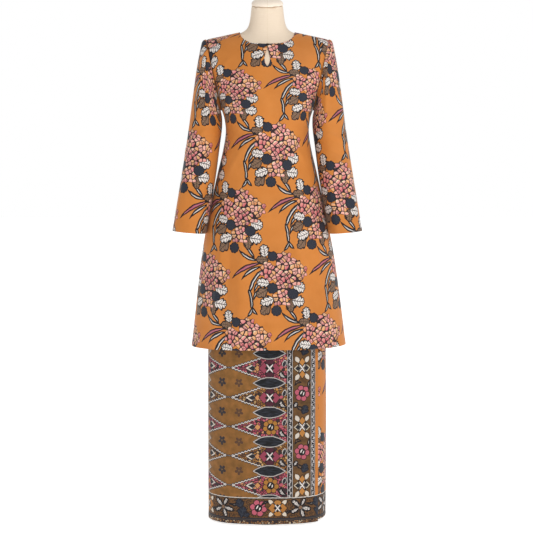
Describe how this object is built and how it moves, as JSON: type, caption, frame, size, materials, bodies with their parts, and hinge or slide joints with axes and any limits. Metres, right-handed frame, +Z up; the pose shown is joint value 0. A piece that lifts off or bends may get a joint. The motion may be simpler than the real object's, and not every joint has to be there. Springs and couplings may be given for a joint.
{
  "type": "baju kurung tunic and wrapped skirt on a limbless dress form",
  "caption": "Long flared tunic with set-in sleeves and a keyhole neck over an ankle-length wrapped skirt, both in printed cloth, standing on a limbless linen-covered dress form.",
  "frame": {"origin": "centre of the underside of the stand's round base, on the surface it stands on", "axes": "+Z up, the garment's front faces -Y, its wearer's right is at -X"},
  "size_m": [0.55, 0.2877, 1.5244],
  "materials": {
    "tunic_cloth": "printed plain-weave viscose, soft with a slight sheen",
    "skirt_cloth": "printed plain-weave cotton, matt with a faint sheen",
    "form_linen": "matt cream linen drawn tight over the form",
    "stand_steel": "grey powder coat, satin",
    "hook_brass": "blackened"
  },
  "bodies": {
    "root": {"tunic_front": "tunic_cloth", "tunic_back": "tunic_cloth", "sleeve_left": "tunic_cloth", "sleeve_right": "tunic_cloth", "neck_hook": "hook_brass", "skirt_lap": "skirt_cloth", "skirt_back": "skirt_cloth", "skirt_waistband": "skirt_cloth", "form_body": "form_linen", "form_cap": "form_linen", "form_pole": "stand_steel", "form_base": "stand_steel"}
  },
  "joints": []
}
